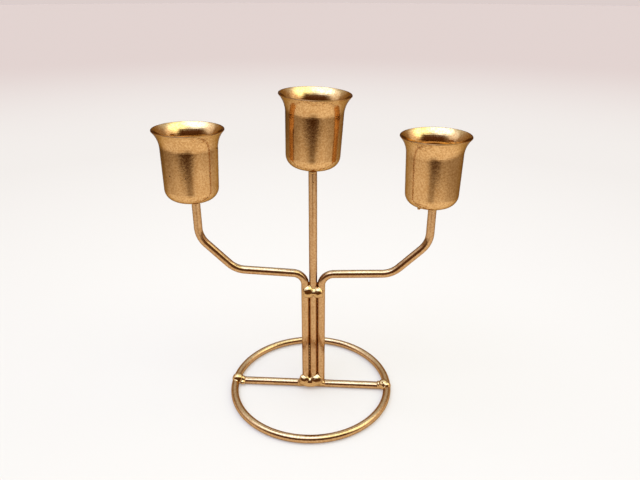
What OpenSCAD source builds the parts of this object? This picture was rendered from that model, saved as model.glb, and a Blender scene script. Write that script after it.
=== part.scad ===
// Three-light candle stand for a table: a round wire foot, three upright wires held side by side,
// two of them bent out into arms, and three drawn bell cups, each a socket for a taper candle.
// +Z is up, +X lies along the foot's cross bar, and the table is the plane z = 0.
// It is made by hand, so the arms and the cups differ a little. Lists that give both arms hold the
// left and then the right one, and lists that give the cups hold the left, right and centre one.

/* [Wire] */
// Diameter of all the wire, lacquer included
wire_d = 3.9; // [3.4:0.1:4.4]

/* [Foot] */
// Diameter of the foot ring, centre line to centre line
ring_d = 80; // [70:1:100]
// Gap between the ring's two wire ends, under the left weld
ring_seam = 0.4; // [0.2:0.1:0.8]

/* [Stem] */
// How far right of the ring's centre the stem stands
stem_x = 1.3; // [-3:0.1:3]
// How far behind the ring's centre the stem and the cross bar lie
stem_y = 0.7; // [-2:0.1:2]
// Height of the centre cup's underside above the table
stem_h = 120.5; // [112:0.1:130]
// How deep the feet of the uprights are set down into the cross bar
foot_sink = 0.5; // [0.3:0.1:0.8]

/* [Arms] */
// Turn of both arms about the stem, in degrees, left arm to the front
arm_swing = 3.4; // [0:0.1:6]
// Distance from the stem's middle to the wire under each side cup
arm_reach = [53.4, 54.8]; // [46:0.1:60]
// Height of each side cup's underside above the table
arm_h = [105.2, 102.6]; // [98:0.1:108]
// Height at which each arm turns out of the stem
arm_turn_h = [67.5, 67.3]; // [60:0.1:70]
// Climb of each arm's long run, from the stem to its next bend
arm_climb = [2.5, 0.3]; // [0:0.1:3]
// Width of each arm's slanting part
slant_w = [16.2, 16.9]; // [14:0.1:20]
// Height that each arm's slanting part climbs
slant_h = [16.9, 16.3]; // [14:0.1:20]
// Bend radius where an arm leaves the stem, to the centre line
stem_bend_r = 6.2; // [4:0.1:8]
// Bend radius at both ends of the slanting part, to the centre line
slant_bend_r = 11.6; // [8:0.1:14]

/* [Cups] */
// Height of a cup
cup_h = 32.9; // [30:0.1:36]
// Outer diameter over the rim
rim_d = 31.4; // [30:0.1:34]
// Outer diameter at the top of the body, where the flare starts
body_top_d = 25.2; // [24.8:0.1:26]
// Outer diameter at the bottom of the body
body_bottom_d = 24.2; // [24:0.1:24.8]
// Height at which the flare starts
flare_z = 24.8; // [24:0.1:27]
// Inner diameter of the straight socket, for a 22 mm candle
socket_d = 22.8; // [22.6:0.1:23]
// Radius of the crown under the cup
crown_r = 30; // [26:1:40]
// Radius of the bend between the crown and the body
corner_r = 5.5; // [4:0.1:8]
// Thickness of the rim
rim_t = 0.7; // [0.6:0.1:1]
// How far each cup stands to the right of its wire
cup_shift = [-1.3, -0.9, -0.1]; // [-2:0.1:2]
// How far each cup leans to the right, in degrees
cup_lean = [1.3, -0.6, 2.3]; // [-3:0.1:3]
// How far each cup leans to the back, in degrees
cup_tip = [0.9, 0, -0.7]; // [-3:0.1:3]

/* [Hidden] */
$fn = 72;

// How far a shape that cuts another, or is cut, runs past the cut
past = 1;
wire_r = wire_d / 2;
ring_r = ring_d / 2;
bar_top = wire_d;
LEFT = 0;
RIGHT = 1;
CENTRE = 2;

// Foot of each upright's centre line, counted from the stem's middle
upright_x = [-wire_d, 0, wire_d];
// Wire under each cup, counted from the stem's middle
light_x = [-arm_reach[LEFT], arm_reach[RIGHT], 0];
light_h = [arm_h[LEFT], arm_h[RIGHT], stem_h];

arm_bend_r = [0, stem_bend_r, slant_bend_r, slant_bend_r, 0];
// A bend draws the wire a little thinner, and the straights lap into it
bend_thinning = 0.03;
bend_lap = 0.2;

// Height of the weld that ties the uprights together
tie_h = 58.3;
// Weld metal starts this far in front of the stem's middle
weld_front = 0.6;
// Drops of weld metal, each as [x from the stem's middle, depth in front of it, height, radius],
// and the round run of metal that joins them, as [first x, last x, depth, height, radius]
foot_drops = [
    [-6.4, 1.1, 3.5, 1.6],
    [-4.7, 1.3, 5.0, 2.1],
    [-2.4, 1.6, 3.5, 2.0],
    [1.2, 1.4, 5.4, 2.3],
    [3.5, 1.5, 3.9, 1.9]
];
foot_run = [-5.2, 3.8, 1.6, 2.9, 1.9];
tie_drops = [
    [-3.1, 1.1, 0, 2.0],
    [-2.3, 0.5, 0.1, 2.8],
    [2.4, 0.6, -0.3, 2.4],
    [3.1, 1.1, -0.4, 1.8]
];
tie_run = [-3.1, 3.1, 1.4, -0.3, 1.6];
// Drops on a ring joint, each as [x inwards from the ring's centre line, y, height, radius]
left_ring_drops = [
    [0.2, -0.4, 2.7, 2.3],
    [2.3, -0.3, 2.6, 1.9],
    [0.5, -2.2, 2.5, 2.0]
];
right_ring_drops = [
    [1.0, 0.2, 2.6, 2.2],
    [3.0, 0, 2.4, 1.8],
    [0.8, -1.3, 2.5, 1.9]
];
// Width and height of the collar of weld metal under a cup
cup_weld_t = 0.4;
cup_weld_h = 1;

wire_colour = "#b9874a";
cup_colour = "#c79a5e";
weld_colour = "#d9b877";

// ---- Lines and bends -------------------------------------------------------------------------

function heading(a, b) = atan2(b[1] - a[1], b[0] - a[0]);
function step(angle, length) = length * [cos(angle), sin(angle)];
function turn(line, i) = heading(line[i], line[i + 1]) - heading(line[i - 1], line[i]);
// Length that a bend takes from each of the two straights that meet in it
function setback(line, radii, i) =
    radii[i] == 0 ? 0 : radii[i] * tan(abs(turn(line, i)) / 2);
// Points along a circular arc, both ends included
function arc(centre, r, from, to, n) =
    [for (i = [0:n]) centre + step(from + (to - from) * i / n, r)];

// Length of straight wire before or after point i, less its bend, with a short lap into the bend
function trim(line, radii, i) = radii[i] == 0 ? 0 : setback(line, radii, i) - bend_lap;

// Round wire along a line of straights and bends in the XY plane
module bent_wire(line, radii, d) {
    last = len(line) - 1;
    for (i = [0:last - 1]) {
        angle = heading(line[i], line[i + 1]);
        start = line[i] + step(angle, trim(line, radii, i));
        end = line[i + 1] - step(angle, trim(line, radii, i + 1));
        translate([start[0], start[1], 0])
            rotate([0, 90, angle])
                cylinder(d = d, h = norm(end - start));
    }
    for (i = [1:last - 1]) {
        side = sign(turn(line, i));
        angle = heading(line[i - 1], line[i]);
        start = line[i] - step(angle, setback(line, radii, i));
        centre = start + step(angle + 90 * side, radii[i]);
        sweep = abs(turn(line, i));
        translate([centre[0], centre[1], 0])
            rotate(side > 0 ? angle - 90 : angle + 90 - sweep)
                rotate_extrude(angle = sweep)
                    translate([radii[i], 0])
                        circle(d = d - bend_thinning);
    }
}

module at_stem() {
    translate([stem_x, stem_y, 0])
        children();
}

// Places a child that is drawn in the plane of the arms
module at_arms() {
    at_stem()
        rotate(arm_swing)
            children();
}

// The bar's flat ends stop half way into the ring, which is then cut out of them
module bar_wire() {
    half_length = ring_r - wire_r / 2;
    translate([-half_length, stem_y, wire_r])
        rotate([0, 90, 0])
            cylinder(d = wire_d, h = 2 * half_length);
}

module ring_wire() {
    translate([0, 0, wire_r])
        rotate_extrude($fn = 240)
            translate([ring_r, 0])
                circle(d = wire_d);
}

// ---- Cups ------------------------------------------------------------------------------------

// Places a child drawn on the cup's own axis, from its underside up
module at_cup(which) {
    at_arms()
        translate([light_x[which] + cup_shift[which], 0, light_h[which]])
            rotate([-cup_tip[which], 0, 0])
                rotate([0, cup_lean[which], 0])
                    children();
}

// Everything that lies above the crown under a cup
module crown_ball(which) {
    at_cup(which)
        translate([0, 0, crown_r])
            sphere(r = crown_r, $fn = 300);
}

// Half of a cup's cross-section: crown, corner, body, flare, lip, and back down inside
module cup_section() {
    bottom_r = body_bottom_d / 2;
    top_r = body_top_d / 2;
    socket_r = socket_d / 2;
    sheet_t = bottom_r - socket_r;
    lip_r = rim_t / 2;
    lip = [rim_d / 2 - lip_r, cup_h - lip_r];

    // The corner is an arc that meets the crown and the body's wall smoothly
    corner_x = bottom_r - corner_r;
    corner = [corner_x, crown_r - sqrt((crown_r - corner_r) ^ 2 - corner_x ^ 2)];
    crown_end = -90 + asin(corner_x / (crown_r - corner_r));

    // The body widens a little up to the flare, and the socket inside it is straight
    taper = atan((top_r - bottom_r) / (flare_z - corner[1]));
    outer = flare([top_r, flare_z], taper, lip, lip_r);
    inner = flare([socket_r, flare_z], 0, lip, -lip_r);
    outer_end = heading(outer[0], lip);
    inner_end = heading(inner[0], lip);

    polygon(concat(
        arc([0, crown_r], crown_r, -90, crown_end, 6),
        arc(corner, corner_r, crown_end, -taper, 10),
        arc(outer[0], outer[1], 180 - taper, outer_end, 12),
        arc(lip, lip_r, outer_end - 180, inner_end, 10),
        arc(inner[0], inner[1], inner_end, 180, 12),
        arc(corner, corner_r - sheet_t, 0, crown_end, 10),
        arc([0, crown_r], crown_r - sheet_t, crown_end, -90, 6)
    ));
}

// Circle of the flare, as [centre, radius]. It leaves the wall smoothly at the point start, and meets
// the lip smoothly: from outside where lip_r is positive, and from inside where it is negative
function flare(start, taper, lip, lip_r) =
    let (span = lip - start, outwards = step(-taper, 1))
    let (r = (span * span - lip_r ^ 2) / (span * outwards + lip_r) / 2)
    [start + r * outwards, r];

module cup(which) {
    color(cup_colour)
        at_cup(which)
            rotate_extrude($fn = 120)
                cup_section();
}

// ---- Wire pieces -----------------------------------------------------------------------------

module base_ring() {
    color(wire_colour)
        difference() {
            ring_wire();
            translate([-ring_r - wire_d, stem_y - ring_seam / 2, -past])
                cube([2 * wire_d, ring_seam, wire_d + 2 * past]);
        }
}

module cross_bar() {
    color(wire_colour)
        difference() {
            bar_wire();
            ring_wire();
        }
}

module centre_stem() {
    color(wire_colour)
        difference() {
            at_stem()
                translate([0, 0, bar_top - foot_sink])
                    cylinder(d = wire_d, h = stem_h - bar_top + foot_sink + past);
            bar_wire();
            crown_ball(CENTRE);
        }
}

// Centre line of an arm, as it leaves the stem to the right: x outwards, y up
function arm_line(which) =
    let (reach = arm_reach[which], h = arm_turn_h[which] + arm_climb[which])
    [
        [wire_d, 0],
        [wire_d, arm_turn_h[which]],
        [reach - slant_w[which], h],
        [reach, h + slant_h[which]],
        [reach, arm_h[which] + past]
    ];

module arm_wire(which) {
    at_arms()
        mirror([which == LEFT ? 1 : 0, 0, 0])
            rotate([90, 0, 0])
                bent_wire(arm_line(which), arm_bend_r, wire_d);
}

module arm(which) {
    color(wire_colour)
        difference() {
            arm_wire(which);
            translate([-ring_d, -ring_d, -past])
                cube([2 * ring_d, 2 * ring_d, past + bar_top - foot_sink]);
            bar_wire();
            crown_ball(which);
        }
}

// ---- Welds -----------------------------------------------------------------------------------

// The three uprights, up to the arms' bends
module uprights() {
    foot = bar_top - foot_sink;
    at_arms()
        for (x = upright_x)
            translate([x, 0, foot])
                cylinder(d = wire_d, h = min(arm_turn_h) - foot);
}

// Drops run together into a bead across the front of the uprights
module bead(drops, run, z) {
    color(weld_colour)
        difference() {
            at_arms()
                intersection() {
                    union() {
                        for (drop = drops)
                            translate([drop[0], -drop[1], z + drop[2]])
                                rotate([90, 0, 0])
                                    sphere(r = drop[3]);
                        translate([run[0], -run[2], z + run[3]])
                            rotate([0, 90, 0])
                                cylinder(r = run[4], h = run[1] - run[0]);
                    }
                    translate([-ring_r, -ring_r, 0])
                        cube([ring_d, ring_r - weld_front, stem_h]);
                }
            uprights();
            bar_wire();
        }
}

// Bead where the uprights stand on the cross bar
module foot_weld() {
    bead(foot_drops, foot_run, 0);
}

// Bead that ties the uprights together below the arms' bends
module tie_weld() {
    bead(tie_drops, tie_run, tie_h);
}

// Bead on top of the joint between the cross bar and the ring; side is -1 left, 1 right
module ring_weld(list, side) {
    color(weld_colour)
        difference() {
            for (drop = list)
                translate([side * (ring_r - drop[0]), stem_y + drop[1], drop[2]])
                    sphere(r = drop[3]);
            ring_wire();
            bar_wire();
        }
}

// Thin collar where a wire's end meets the crown of its cup
module cup_weld(which) {
    color(weld_colour)
        difference() {
            at_arms()
                translate([light_x[which], 0, light_h[which] - cup_weld_h])
                    rotate_extrude()
                        polygon([
                            [wire_r, 0],
                            [wire_r + cup_weld_t, cup_weld_h],
                            [wire_r + cup_weld_t, cup_weld_h + past],
                            [wire_r, cup_weld_h + past]
                        ]);
            crown_ball(which);
        }
}

base_ring();
cross_bar();
centre_stem();
arm(LEFT);  // left_arm
arm(RIGHT);  // right_arm
cup(LEFT);  // left_cup
cup(CENTRE);  // centre_cup
cup(RIGHT);  // right_cup
foot_weld();
tie_weld();
ring_weld(left_ring_drops, -1);  // left_ring_weld
ring_weld(right_ring_drops, 1);  // right_ring_weld
cup_weld(LEFT);  // left_cup_weld
cup_weld(CENTRE);  // centre_cup_weld
cup_weld(RIGHT);  // right_cup_weld
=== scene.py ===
"""Three-light wire candle stand: gold lacquer, weld metal and a plain studio around the frame."""

import math

import bmesh
import bpy
from mathutils import Matrix, Vector, noise


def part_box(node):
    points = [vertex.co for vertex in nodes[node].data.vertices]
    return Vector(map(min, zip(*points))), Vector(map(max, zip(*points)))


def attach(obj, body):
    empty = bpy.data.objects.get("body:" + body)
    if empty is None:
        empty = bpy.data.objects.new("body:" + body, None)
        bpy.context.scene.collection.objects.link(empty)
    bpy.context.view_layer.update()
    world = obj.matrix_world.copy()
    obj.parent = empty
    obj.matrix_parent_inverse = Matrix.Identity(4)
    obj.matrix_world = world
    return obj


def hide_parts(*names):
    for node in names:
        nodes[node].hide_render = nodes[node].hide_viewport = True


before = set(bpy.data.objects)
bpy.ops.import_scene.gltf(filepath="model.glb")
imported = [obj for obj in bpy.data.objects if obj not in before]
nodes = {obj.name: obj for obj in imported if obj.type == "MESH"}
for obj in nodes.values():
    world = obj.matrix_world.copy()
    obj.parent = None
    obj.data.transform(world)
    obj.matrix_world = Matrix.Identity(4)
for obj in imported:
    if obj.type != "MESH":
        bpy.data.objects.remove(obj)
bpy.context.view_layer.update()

MM = 0.001

# ---- Sizes taken from the frame: corners in metres, and the rest in mm -------------------------

BAR_LOW, BAR_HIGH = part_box("cross_bar")
STEM_LOW, STEM_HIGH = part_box("centre_stem")
RING_LOW, RING_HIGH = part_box("base_ring")
WIRE_R = (BAR_HIGH.z - BAR_LOW.z) / 2 / MM
RING_R = (RING_HIGH.x - RING_LOW.x) / 2 / MM - WIRE_R
STEM_X = (STEM_LOW.x + STEM_HIGH.x) / 2 / MM
STEM_Y = (STEM_LOW.y + STEM_HIGH.y) / 2 / MM

# ---- Camera ------------------------------------------------------------------------------------
# Fitted to the outlines of the ring, the wires and the cups in the photograph

CAMERA_PLACE = Vector((18.529, -239.347, 195.804)) * MM
CAMERA_YAW, CAMERA_PITCH, CAMERA_ROLL = 0.058, -0.430, -0.002
IMAGE_WIDTH = 640
FOCAL_PIXELS = 563.255
NEAREST, FURTHEST = 0.01, 20


def make_camera():
    data = bpy.data.cameras.new("camera")
    data.sensor_width = 36
    data.lens = FOCAL_PIXELS * data.sensor_width / IMAGE_WIDTH
    data.clip_start, data.clip_end = NEAREST, FURTHEST
    camera = bpy.data.objects.new("camera", data)
    bpy.context.scene.collection.objects.link(camera)
    level = Matrix.Rotation(math.pi / 2, 4, "X")
    turn = (
        Matrix.Rotation(CAMERA_YAW, 4, "Z")
        @ Matrix.Rotation(CAMERA_PITCH, 4, "X")
        @ Matrix.Rotation(CAMERA_ROLL, 4, "Y")
    )
    camera.matrix_world = Matrix.Translation(CAMERA_PLACE) @ turn @ level
    bpy.context.scene.camera = camera


# ---- Node helpers ------------------------------------------------------------------------------


class Graph:
    """A node tree that is written as nested calls."""

    def __init__(self, tree):
        self.tree = tree
        tree.nodes.clear()

    def node(self, kind, settings=None, **inputs):
        """A new node. An input goes by its name, or by i and its number where names repeat."""
        made = self.tree.nodes.new(kind)
        for name, value in (settings or {}).items():
            setattr(made, name, value)
        for name, value in inputs.items():
            numbered = name[0] == "i" and name[1:].isdigit()
            self.join(value, made.inputs[int(name[1:]) if numbered else name.replace("_", " ")])
        return made

    def join(self, value, socket):
        if isinstance(value, bpy.types.NodeSocket):
            self.tree.links.new(value, socket)
        else:
            socket.default_value = value

    def math(self, operation, a, b=0.0):
        return self.node("ShaderNodeMath", {"operation": operation}, i0=a, i1=b).outputs[0]

    def vector(self, operation, a, b=(0, 0, 0), result="Vector"):
        made = self.node("ShaderNodeVectorMath", {"operation": operation}, i0=a, i1=b)
        return made.outputs[result]

    def ramp(self, value, low, high, to_low=0.0, to_high=1.0, smooth=True):
        kind = "SMOOTHSTEP" if smooth else "LINEAR"
        made = self.node("ShaderNodeMapRange", {"interpolation_type": kind}, Value=value)
        limits = {"From Min": low, "From Max": high, "To Min": to_low, "To Max": to_high}
        for name, number in limits.items():
            made.inputs[name].default_value = number
        return made.outputs["Result"]

    def mix(self, factor, a, b):
        made = self.node("ShaderNodeMix", {"data_type": "RGBA"}, i0=factor, i6=a, i7=b)
        return made.outputs[2]

    def band(self, value, start, full, wane, gone):
        """0 up to start, 1 from full to wane, and 0 again from gone on."""
        rise = self.ramp(value, start, full)
        return self.math("MULTIPLY", rise, self.ramp(value, wane, gone, 1.0, 0.0))

    def scale(self, colour, factor):
        made = self.node("ShaderNodeVectorMath", {"operation": "SCALE"}, Scale=factor)
        self.join(colour, made.inputs[0])
        return made.outputs[0]

    def noise(self, coords, size, detail=2.0, rough=0.5):
        made = self.node(
            "ShaderNodeTexNoise", Vector=coords, Scale=1 / size, Detail=detail, Roughness=rough
        )
        return made.outputs["Fac"]

    def stretch(self, noise, low, high):
        """Noise, nearly all of which lies between 0.3 and 0.7, made to run from low to high."""
        return self.ramp(noise, 0.3, 0.7, low, high, smooth=False)


# ---- Lacquer -----------------------------------------------------------------------------------

LIGHT_GOLD = (0.72, 0.43, 0.18, 1)
DEEP_GOLD = (0.56, 0.30, 0.106, 1)
# Painted shade: brown low inside a cup, and brown on its lip that dims its highlight
INSIDE_SHADE_BROWN = (0.24, 0.105, 0.024, 1)
LIP_SHADE_BROWN = (0.27, 0.115, 0.035, 1)
EDGE_TINT = (0.45, 0.36, 0.28, 1)
CLOUD_SIZE = 9 * MM
# Below a cup's rim: where the painted shade inside it begins and is full, and the same for the
# painted shade on its lip
INSIDE_SHADE_FROM, INSIDE_SHADE_FULL = 2.5 * MM, 9 * MM
LIP_FROM, LIP_FULL = 2.2 * MM, 1.6 * MM


def lacquer(
    name, rough, grain_size, grain_depth, grain_tone, coat, inside=None, taper=0.0, tone=None
):
    """Satin gold lacquer on steel: cloudy tone, and a fine grain in tone, gloss and height. On a
    cup, inside is its axis and rim, by which shade is painted inside it and on its lip, and taper
    tilts the surface a little for the reflections."""
    material = bpy.data.materials.new(name)
    material.use_nodes = True
    g = Graph(material.node_tree)
    coords = g.node("ShaderNodeTexCoord").outputs["Object"]
    cloud = g.stretch(g.noise(coords, CLOUD_SIZE, 3, 0.55), 0.25, 0.75)
    grain = g.noise(coords, grain_size, 2, 0.6)
    speckle = g.stretch(grain, -grain_tone, grain_tone)
    colour = g.mix(g.math("ADD", cloud, speckle), DEEP_GOLD, LIGHT_GOLD)
    if tone:
        colour = g.vector("MULTIPLY", colour, tone)
    relief = grain
    if inside:
        # Painted shade, low inside the cup and on its lip
        deep, lip, height = hollow(g, coords, *inside)
        colour = g.mix(lip, g.mix(deep, colour, INSIDE_SHADE_BROWN), LIP_SHADE_BROWN)
        relief = g.math("SUBTRACT", grain, g.math("MULTIPLY", height, taper / grain_depth))
    gloss = g.stretch(grain, rough * 0.8, rough * 1.25)
    bump = g.node("ShaderNodeBump", Height=relief, Distance=grain_depth, Strength=1.0)
    shader = g.node(
        "ShaderNodeBsdfPrincipled",
        Base_Color=colour,
        Metallic=1.0,
        Roughness=gloss,
        Normal=bump.outputs[0],
        Specular_Tint=EDGE_TINT,
        Coat_Weight=coat,
        Coat_Roughness=0.08,
    )
    g.node("ShaderNodeOutputMaterial", Surface=shader.outputs[0])
    return material


def hollow(g, coords, axis_point, rim_height):
    """How much shade is painted inside a cup, low down where its hollow is dark; how much on its
    lip, painted shade that dims the lip's highlight; and the height."""
    flat = g.vector("MULTIPLY", g.vector("SUBTRACT", coords, axis_point), (1, 1, 0))
    outward = g.vector("NORMALIZE", flat)
    normal = g.node("ShaderNodeNewGeometry").outputs["Normal"]
    facing = g.vector("DOT_PRODUCT", outward, normal, "Value")
    height = g.node("ShaderNodeSeparateXYZ", Vector=coords).outputs["Z"]
    inward = g.ramp(facing, -0.5, -0.1, 1.0, 0.0)
    depth = g.ramp(height, rim_height - INSIDE_SHADE_FULL, rim_height - INSIDE_SHADE_FROM, 1.0, 0.0)
    deep = g.math("MULTIPLY", inward, depth)
    upward = g.node("ShaderNodeSeparateXYZ", Vector=normal).outputs["Z"]
    edge = g.math("MULTIPLY", g.ramp(upward, 0.0, 0.4), g.ramp(facing, -0.75, -0.45))
    top = g.ramp(height, rim_height - LIP_FROM, rim_height - LIP_FULL)
    # The lip is painted darker, painted shade in place of its highlight
    lip = g.math("MULTIPLY", edge, top)
    return deep, lip, height


# ---- Weld metal --------------------------------------------------------------------------------
# Places and sizes in this section are in mm. Those at the uprights are from the middle of the
# stem's foot on the table, with x along the arms; those at the ring are from the ring's middle.

ARM_TURN = math.radians(3.4)
AT_UPRIGHTS = Matrix.Translation((STEM_X, STEM_Y, 0)) @ Matrix.Rotation(ARM_TURN, 4, "Z")
AT_RING = Matrix.Identity(4)

# The grid on which drops melt into one skin, and how often per mm that skin swells and ripples
VOXEL = 0.15
SWELL_RATE = 0.7
RIPPLE, RIPPLE_RATE = 0.03, 2.5

# Each weld is melted together with the lengths of wire inside it, which are a little thinner than
# the frame's wires so that they don't show. The spans are from the lower or left end to the
# other. At the ring, it is half the length of ring, and the length of bar, inside the weld.
INSET = 0.12
CORE_R = WIRE_R - INSET
TIE_SPAN = (53, 63)
FOOT_SPAN = (3, 10)
FOOT_BAR_SPAN = (-8.5, 6.5)
RING_PART, BAR_PART = 4, 8

# Each drop: its middle, its radii, and the degrees by which its top leans back
TIE_H = 58.0
TIE_DROPS = [
    ((-2.5, -1.9, TIE_H + 1.3), (2.5, 1.3, 2.9), 40),
    ((2.5, -2.0, TIE_H + 0.8), (2.4, 1.3, 2.5), 42),
    ((0.0, -2.0, TIE_H + 0.6), (2.2, 1.1, 1.8), 42),
    ((-2.4, -2.2, TIE_H - 0.9), (2.5, 1.8, 1.6), 0),
    ((2.4, -2.2, TIE_H - 0.9), (2.5, 1.8, 1.6), 0),
]
FOOT_DROPS = [
    ((-4.7, -1.7, 6.0), (2.7, 1.4, 2.5), 42),
    ((1.5, -1.8, 6.0), (3.3, 1.4, 2.8), 42),
    ((-1.6, -2.0, 4.9), (3.2, 1.3, 2.2), 42),
    ((-4.5, -2.0, 4.1), (2.9, 1.6, 1.7), 0),
    ((1.3, -2.1, 4.1), (3.4, 1.6, 1.7), 0),
    ((-6.6, -1.1, 3.2), (1.8, 1.3, 1.5), 0),
    ((4.2, -1.4, 2.9), (2.2, 1.5, 1.5), 0),
    ((-1.5, -1.9, 3.0), (4.8, 1.9, 1.8), 0),
    ((-1.5, -2.1, 3.6), (3.2, 1.5, 1.9), 0),
]
LEFT_RING_DROPS = [
    ((-39.0, 0.2, 3.3), (3.0, 2.4, 3.0), 35),
    ((-36.6, 0.4, 2.8), (2.0, 1.8, 2.0), 0),
    ((-36.4, -1.2, 2.1), (1.7, 1.2, 1.2), 0),
    ((-39.6, -1.7, 2.6), (2.1, 1.5, 1.5), 20),
]
RIGHT_RING_DROPS = [
    ((38.3, 0.3, 3.0), (2.9, 2.7, 2.8), 25),
    ((35.4, 0.6, 2.6), (0.9, 1.95, 1.95), 0),
    ((39.8, -0.6, 3.0), (2.2, 2.4, 2.4), 25),
]

# Each pit: its middle, its radius and its depth
LEFT_RING_PITS = [((-38.7, -2.4, 2.9), 1.0, 0.5)]
RIGHT_RING_PITS = [((37.4, -0.9, 5.0), 0.8, 0.5), ((38.9, -2.3, 3.9), 0.8, 0.5)]

# Under each cup, a collar with a bead on it: the bead's middle from the collar's top, and its
# radii; the collar's radii; how far its middle is below its top; and the length of wire inside
CUP_BEADS = [
    ("left", (0.2, -1.5, -1.0), (1.2, 0.7, 0.6)),
    ("centre", (0.2, -1.9, -1.3), (1.7, 0.9, 0.9)),
    ("right", (-0.2, -1.9, -1.4), (1.5, 0.8, 0.8)),
]
COLLAR_RADII = (2.5, 2.5, 0.9)
COLLAR_DROP = 0.3
CUP_WIRE = 5

# Spatter flew off while the joints were welded, and specks of scorched metal stuck to the left
# cup: the middle and radius of each drop, and how far its surface wanders
SPATTER = [((49.3, -0.3, 102.95), 0.75), ((1.7, -1.35, 114.3), 0.45)]
SPECKS = [
    ((-40.2, -3.0, 129.9), 0.32),
    ((-59.2, -12.85, 119.9), 0.28),
    ((-51.8, -14.5, 119.6), 0.22),
]
WANDER, WANDER_RATE = 0.05, 2.3

# The row of beads in the groove between the left upright and the stem, which starts and ends at
# these heights; the beads differ in size by these factors
BEAD_COUNT = 10
BEAD_R = 0.38
BEAD_HEIGHTS = (11.6, 26.5)
BEAD_SIZES = (0.75, 1.1)
BEAD_STRAY = 0.4  # of a bead's radius
BEAD_SEED = 4


def add_ball(bm, place, radii, lean=0):
    """A ball with three radii, its top leaning back by some degrees."""
    lie = Matrix.Rotation(math.radians(-lean), 4, "X")
    matrix = Matrix.Translation(place) @ lie @ Matrix.Diagonal((*radii, 1))
    bmesh.ops.create_icosphere(bm, subdivisions=4, radius=1, matrix=matrix)


def add_rod(bm, start, end, radius):
    start, end = Vector(start), Vector(end)
    turn = (end - start).to_track_quat("Z", "Y").to_matrix().to_4x4()
    bmesh.ops.create_cone(
        bm,
        cap_ends=True,
        segments=48,
        radius1=radius,
        radius2=radius,
        depth=(end - start).length,
        matrix=Matrix.Translation((start + end) / 2) @ turn,
    )


def finished(source, name):
    """The evaluated mesh of a modified object, as a plain object; the source goes."""
    shapes = bpy.context.evaluated_depsgraph_get()
    mesh = bpy.data.meshes.new_from_object(source.evaluated_get(shapes))
    mesh.name = name
    piece = bpy.data.objects.new(name, mesh)
    bpy.context.scene.collection.objects.link(piece)
    bpy.data.objects.remove(source)
    return piece


def belongs(piece, *replaced, material=None):
    """Smooth faces, a finish, and a place on the stand."""
    piece.data.polygons.foreach_set("use_smooth", [True] * len(piece.data.polygons))
    if material:
        piece.data.materials.clear()
        piece.data.materials.append(material)
    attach(piece, "root")
    if replaced:
        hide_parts(*replaced)


def weld_metal(name, place, drops, wires, pits=(), flow=12, swell=0.08):
    """Drops of metal that have run together around the wires that they join."""
    bm = bmesh.new()
    for middle, radii, lean in drops:
        add_ball(bm, middle, radii, lean)
    for start, end in wires:
        add_rod(bm, start, end, CORE_R)
    mesh = bpy.data.meshes.new(name)
    bm.to_mesh(mesh)
    bm.free()
    source = bpy.data.objects.new(name + "_drops", mesh)
    bpy.context.scene.collection.objects.link(source)
    join = source.modifiers.new("join", "REMESH")
    join.mode, join.voxel_size = "VOXEL", VOXEL
    run = source.modifiers.new("run", "SMOOTH")
    run.factor, run.iterations = 0.5, flow
    piece = finished(source, name + "_metal")
    surface = [(vertex.co.copy(), vertex.normal.copy()) for vertex in piece.data.vertices]
    for vertex, (point, outward) in zip(piece.data.vertices, surface):
        shift = swell * noise.noise(point * SWELL_RATE)
        shift += RIPPLE * noise.noise(point * RIPPLE_RATE)
        for middle, radius, depth in pits:
            away = (point - Vector(middle)).length / radius
            if away < 1:
                shift -= depth * (1 - away * away) ** 2
        vertex.co = point + outward * shift
    piece.data.transform(Matrix.Scale(MM, 4) @ place)
    belongs(piece, name, material=weld_lacquer)


def make_upright_welds():
    """The weld that ties the three uprights, and the one where they stand on the bar."""
    uprights = (-2 * WIRE_R, 0.0, 2 * WIRE_R)
    tied = [((x, 0, TIE_SPAN[0]), (x, 0, TIE_SPAN[1])) for x in uprights]
    feet = [((x, 0, FOOT_SPAN[0]), (x, 0, FOOT_SPAN[1])) for x in uprights]
    bar = ((FOOT_BAR_SPAN[0], 0, WIRE_R), (FOOT_BAR_SPAN[1], 0, WIRE_R))
    weld_metal("tie_weld", AT_UPRIGHTS, TIE_DROPS, tied)
    weld_metal("foot_weld", AT_UPRIGHTS, FOOT_DROPS, [*feet, bar])


def make_ring_welds():
    """The two welds where the ends of the bar, which runs below the stem, meet the ring."""
    ring_x = RING_R - INSET
    for name, side, drops, pits in (
        ("left_ring_weld", -1, LEFT_RING_DROPS, LEFT_RING_PITS),
        ("right_ring_weld", 1, RIGHT_RING_DROPS, RIGHT_RING_PITS),
    ):
        near, far = STEM_Y - RING_PART, STEM_Y + RING_PART
        ring = ((side * ring_x, near, WIRE_R), (side * ring_x, far, WIRE_R))
        bar = ((side * ring_x, STEM_Y, WIRE_R), (side * (RING_R - BAR_PART), STEM_Y, WIRE_R))
        weld_metal(name, AT_RING, drops, [ring, bar], pits)


def make_cup_welds():
    """A collar with a bead where each cup sits on its wire."""
    for side, bead, radii in CUP_BEADS:
        name = side + "_cup_weld"
        low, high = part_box(name)
        top = Vector(((low.x + high.x) / 2, (low.y + high.y) / 2, high.z)) / MM
        collar = (top - Vector((0, 0, COLLAR_DROP)), COLLAR_RADII, 0)
        wire = (top - Vector((0, 0, CUP_WIRE)), top)
        drops = [collar, (top + Vector(bead), radii, 0)]
        weld_metal(name, AT_RING, drops, [wire], flow=8, swell=0.05)


def wander(point):
    """A small shift that differs from place to place."""
    layers = [point * WANDER_RATE + Vector((0, 0, 9 * n)) for n in (1, 2, 3)]
    return Vector([WANDER * noise.noise(layer) for layer in layers])


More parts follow.
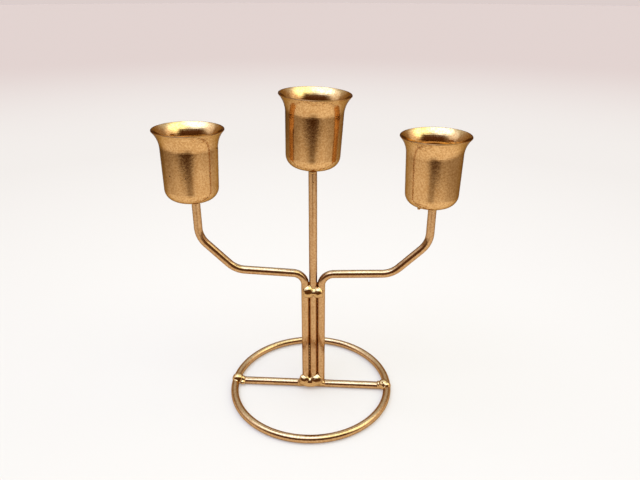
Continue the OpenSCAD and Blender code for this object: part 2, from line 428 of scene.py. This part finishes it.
def make_spatter():
    for name, drops, material in (
        ("spatter", SPATTER, weld_lacquer),
        ("specks", SPECKS, scorched),
    ):
        bm = bmesh.new()
        for place, radius in drops:
            add_ball(bm, place, (radius, radius, radius * 0.85))
        for vertex in bm.verts:
            vertex.co += wander(vertex.co)
        mesh = bpy.data.meshes.new(name)
        bm.to_mesh(mesh)
        bm.free()
        mesh.transform(Matrix.Scale(MM, 4))
        piece = bpy.data.objects.new(name, mesh)
        bpy.context.scene.collection.objects.link(piece)
        belongs(piece, material=material)


def bead_row_tree():
    """Geometry nodes: a row of small beads between two points, uneven in size and place."""
    tree = bpy.data.node_groups.new("bead_row", "GeometryNodeTree")
    tree.interface.new_socket("Geometry", in_out="OUTPUT", socket_type="NodeSocketGeometry")
    for name, kind in (
        ("From", "Vector"),
        ("To", "Vector"),
        ("Count", "Int"),
        ("Radius", "Float"),
        ("Seed", "Int"),
        ("Material", "Material"),
    ):
        tree.interface.new_socket(name, in_out="INPUT", socket_type="NodeSocket" + kind)
    g = Graph(tree)
    given = g.node("NodeGroupInput").outputs
    line = g.node(
        "GeometryNodeMeshLine",
        {"mode": "END_POINTS"},
        Count=given["Count"],
        Start_Location=given["From"],
        Offset=given["To"],
    )
    sideways = g.node("FunctionNodeRandomValue", {"data_type": "FLOAT_VECTOR"}, i8=given["Seed"])
    sideways.inputs[0].default_value = (-1, -0.3, -1)
    sideways.inputs[1].default_value = (1, 0.3, 1)
    offset = g.scale(sideways.outputs[0], g.math("MULTIPLY", given["Radius"], BEAD_STRAY))
    uneven = g.node("GeometryNodeSetPosition", Geometry=line.outputs[0], Offset=offset)
    bead = g.node("GeometryNodeMeshIcoSphere", Radius=given["Radius"])
    bead.inputs["Subdivisions"].default_value = 3
    size = g.node("FunctionNodeRandomValue", {"data_type": "FLOAT"}, i8=given["Seed"])
    size.inputs[2].default_value, size.inputs[3].default_value = BEAD_SIZES
    placed = g.node(
        "GeometryNodeInstanceOnPoints",
        Points=uneven.outputs[0],
        Instance=bead.outputs[0],
        Scale=size.outputs[1],
    )
    whole = g.node("GeometryNodeRealizeInstances", Geometry=placed.outputs[0])
    coated = g.node("GeometryNodeSetMaterial", Geometry=whole.outputs[0])
    g.join(given["Material"], coated.inputs["Material"])
    g.node("NodeGroupOutput", Geometry=coated.outputs[0])
    return tree


def make_groove_beads():
    """A bead that touches both wires has its middle in front of theirs by the third side of a
    triangle. They are seated a little deeper, so that none floats."""
    groove = math.sqrt((WIRE_R + BEAD_R) ** 2 - WIRE_R**2) - INSET
    ends = [AT_UPRIGHTS @ Vector((-WIRE_R, -groove, z)) * MM for z in BEAD_HEIGHTS]
    tree = bead_row_tree()
    source = bpy.data.objects.new("groove_source", bpy.data.meshes.new("groove_source"))
    bpy.context.scene.collection.objects.link(source)
    beads = source.modifiers.new("beads", "NODES")
    beads.node_group = tree
    sockets = {s.name: s.identifier for s in tree.interface.items_tree if s.in_out == "INPUT"}
    values = {
        "From": ends[0],
        "To": ends[1],
        "Count": BEAD_COUNT,
        "Radius": BEAD_R * MM,
        "Seed": BEAD_SEED,
        "Material": weld_lacquer,
    }
    for name, value in values.items():
        beads[sockets[name]] = value
    piece = finished(source, "groove_beads")
    belongs(piece)


# ---- Studio ------------------------------------------------------------------------------------
# The lacquer mirrors the paper, a sheet of painted shade and painted light that lies just over
# it, and the room. The camera sees only the paper and a plain backdrop. Places are in metres from
# the ring's middle.

REACH = 6.0

PAPER_CLOSE = (1, 0.99, 0.975, 1)
PAPER_NEAR = (0.89, 0.86, 0.84, 1)
PAPER_FAR = (0.755, 0.655, 0.64, 1)
PAPER_DIFFUSE = (0.495, 0.39, 0.295)
PAPER_GLOW = 0.32

# Painted shade and painted light on the paper's reflections: the darkest shade, the dim shade,
# and the brightening where it is clear
REFLECTED_SHADE_DARK = (0.07, 0.025, 0.0, 1)
REFLECTED_SHADE_DIM = (0.60, 0.54, 0.47, 1)
REFLECTED_LIGHT_BOOST = (1.16, 1.14, 1.12, 1)

WALLS = (0.46, 0.36, 0.28, 1)
CEILING = (1.05, 1.35, 1.75, 1)
FIGURE = (0.15, 0.07, 0.03, 1)
BACKDROP_LOW = (0.72, 0.62, 0.60, 1)
BACKDROP_HIGH = (0.66, 0.57, 0.56, 1)

# Each lamp: degrees to the right of the front, degrees up, degrees from its middle to where it
# fades out, the same to where it is full, and its colour
LAMPS = [
    (-50, 72, 34, 10, (2.0, 2.9, 5.2)),
    (-88, 38, 28, 8, (0.7, 0.85, 1.25)),
    (70, 56, 36, 12, (1.5, 2.0, 1.6)),
    (92, 30, 34, 8, (0.8, 0.8, 0.8)),
]


def add_sheet(name, outline, camera_sees):
    """A flat sheet that belongs to the studio, with an empty material to fill in."""
    mesh = bpy.data.meshes.new(name)
    mesh.from_pydata(outline, [], [range(len(outline))])
    sheet = bpy.data.objects.new(name, mesh)
    bpy.context.scene.collection.objects.link(sheet)
    sheet.visible_camera = sheet.visible_diffuse = sheet.visible_shadow = camera_sees
    material = bpy.data.materials.new(name)
    material.use_nodes = True
    mesh.materials.append(material)
    g = Graph(material.node_tree)
    coords = g.node("ShaderNodeTexCoord").outputs["Object"]
    return g, coords


def make_floor():
    """Pale paper that darkens and warms with distance, as paper does away from the lamps."""
    edge = [math.tau * step / 64 for step in range(64)]
    outline = [(REACH * math.cos(angle), REACH * math.sin(angle), 0) for angle in edge]
    g, coords = add_sheet("paper", outline, True)
    distance = g.vector("LENGTH", coords, result="Value")
    dimming = g.ramp(distance, 0.05, 0.50, smooth=False)
    near = g.mix(dimming, PAPER_CLOSE, PAPER_NEAR)
    tint = g.mix(g.ramp(distance, 0.50, 1.5), near, PAPER_FAR)
    lit = g.vector("MULTIPLY", tint, PAPER_DIFFUSE)
    diffuse = g.node("ShaderNodeBsdfDiffuse", Color=lit)
    glow = g.node("ShaderNodeEmission", Color=tint, Strength=PAPER_GLOW)
    both = g.node("ShaderNodeAddShader", i0=diffuse.outputs[0], i1=glow.outputs[0])
    g.node("ShaderNodeOutputMaterial", Surface=both.outputs[0])


def make_reflected_shade():
    """A sheet of painted shade, which only reflections see. It is clear around the stand, less so
    behind it and on its left, and dark in front, where whoever stands there shades the table.
    Where it is clear, it brightens the paper's reflection a little: painted light."""
    corners = ((-REACH, -REACH), (REACH, -REACH), (REACH, REACH), (-REACH, REACH))
    g, coords = add_sheet("reflected_shade_sheet", [(x, y, MM) for x, y in corners], False)
    parts = g.node("ShaderNodeSeparateXYZ", Vector=coords).outputs
    x, y = parts["X"], parts["Y"]

    # The clear part, without painted shade, is an oval, a little longer from front to back, and
    # set to the left
    oval = g.vector("MULTIPLY", g.vector("ADD", coords, (0.04, 0.0, 0.0)), (1.0, 0.7, 0.0))
    middle = g.ramp(g.vector("LENGTH", oval, result="Value"), 0.25, 0.50, 1.0, 0.38)
    behind = g.ramp(y, -0.02, 0.15, 1.0, 0.68)
    across = g.ramp(x, -0.25, 0.12, 0.88, 1.0)

    # The shade in front has a slanting edge, and a strip of it reaches further back
    bend = g.math("MULTIPLY", g.math("ABSOLUTE", x), 0.04)
    slant = g.math("MULTIPLY", x, -0.08)
    front = g.ramp(g.math("ADD", y, g.math("ADD", bend, slant)), -0.45, -0.27)
    strip = g.band(x, -0.11, -0.03, 0.03, 0.10)
    strip = g.math("MULTIPLY", strip, g.ramp(y, -0.28, -0.15, 0.45, 0))
    front = g.math("MULTIPLY", front, g.math("SUBTRACT", 1.0, strip))

    # Some light remains far off at the sides, more on the right
    left = g.ramp(x, -0.34, -0.18, 0.20, 0.0)
    right = g.ramp(x, 0.12, 0.24, 0.0, 0.40)

    lengthwise, sideways = g.math("MULTIPLY", middle, behind), g.math("MULTIPLY", across, front)
    clear = g.math("MULTIPLY", lengthwise, sideways)
    clear = g.math("MAXIMUM", clear, g.math("MAXIMUM", left, right))
    dim_shade = g.mix(g.ramp(clear, 0.0, 0.5, smooth=False), REFLECTED_SHADE_DARK, REFLECTED_SHADE_DIM)
    colour = g.mix(g.ramp(clear, 0.5, 1.0, smooth=False), dim_shade, REFLECTED_LIGHT_BOOST)
    shader = g.node("ShaderNodeBsdfTransparent", Color=colour)
    g.node("ShaderNodeOutputMaterial", Surface=shader.outputs[0])


def make_world():
    """A pale room with a bright ceiling, lamps, and a dark figure behind the camera. All angles
    are in degrees."""
    world = bpy.data.worlds.new("studio")
    bpy.context.scene.world = world
    world.use_nodes = True
    g = Graph(world.node_tree)
    direction = g.node("ShaderNodeTexCoord").outputs["Generated"]
    parts = g.node("ShaderNodeSeparateXYZ", Vector=direction).outputs
    front = g.math("MULTIPLY", parts["Y"], -1.0)
    azimuth = g.math("DEGREES", g.math("ARCTAN2", parts["X"], front))
    elevation = g.math("DEGREES", g.math("ARCSINE", parts["Z"]))

    room = g.mix(g.ramp(elevation, 20, 60), WALLS, CEILING)
    for turn, up, fade, full, colour in LAMPS:
        level = math.cos(math.radians(up))
        x, y = level * math.sin(math.radians(turn)), -level * math.cos(math.radians(turn))
        middle = (x, y, math.sin(math.radians(up)))
        closeness = g.vector("DOT_PRODUCT", direction, middle, "Value")
        shine = g.ramp(closeness, math.cos(math.radians(fade)), math.cos(math.radians(full)))
        room = g.vector("ADD", room, g.scale(colour, shine))
    head_height = g.ramp(elevation, 40, 54, 1.0, 0.0)
    figure = g.math("MULTIPLY", g.band(azimuth, -75, -35, 46, 72), head_height)
    room = g.mix(figure, room, FIGURE)

    seen = g.mix(g.ramp(parts["Z"], 0.0, 0.6), BACKDROP_LOW, BACKDROP_HIGH)
    camera_ray = g.node("ShaderNodeLightPath").outputs["Is Camera Ray"]
    background = g.node("ShaderNodeBackground", Color=g.mix(camera_ray, room, seen))
    g.node("ShaderNodeOutputWorld", Surface=background.outputs[0])


# ---- Build -------------------------------------------------------------------------------------

make_camera()
bpy.context.scene.view_settings.view_transform = "Standard"
make_world()
make_floor()
make_reflected_shade()

wire_lacquer = lacquer(
    "wire_lacquer",
    rough=0.145,
    grain_size=0.8 * MM,
    grain_depth=0.006 * MM,
    grain_tone=0.9,
    coat=0.05,
    tone=(0.82, 0.82, 0.90),
)
weld_lacquer = lacquer(
    "weld_lacquer",
    rough=0.10,
    grain_size=0.9 * MM,
    grain_depth=0.004 * MM,
    grain_tone=0.3,
    coat=0.1,
    tone=(0.92, 0.95, 0.95),
)
scorched = lacquer(
    "scorched_metal",
    rough=0.35,
    grain_size=0.5 * MM,
    grain_depth=0.01 * MM,
    grain_tone=0.1,
    coat=0.0,
    tone=(0.1, 0.1, 0.1),
)
for name in ("base_ring", "cross_bar", "centre_stem", "left_arm", "right_arm"):
    nodes[name].material_slots[0].material = wire_lacquer
for side, taper in (("left", 0.012), ("centre", 0.0), ("right", 0.028)):
    low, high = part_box(side + "_cup")
    nodes[side + "_cup"].material_slots[0].material = lacquer(
        side + "_cup_lacquer",
        rough=0.13,
        grain_size=0.80 * MM,
        grain_depth=0.014 * MM,
        grain_tone=1.0,
        coat=0.02,
        inside=((low + high) / 2, high.z),
        taper=taper,
    )
make_upright_welds()
make_ring_welds()
make_cup_welds()
make_spatter()
make_groove_beads()
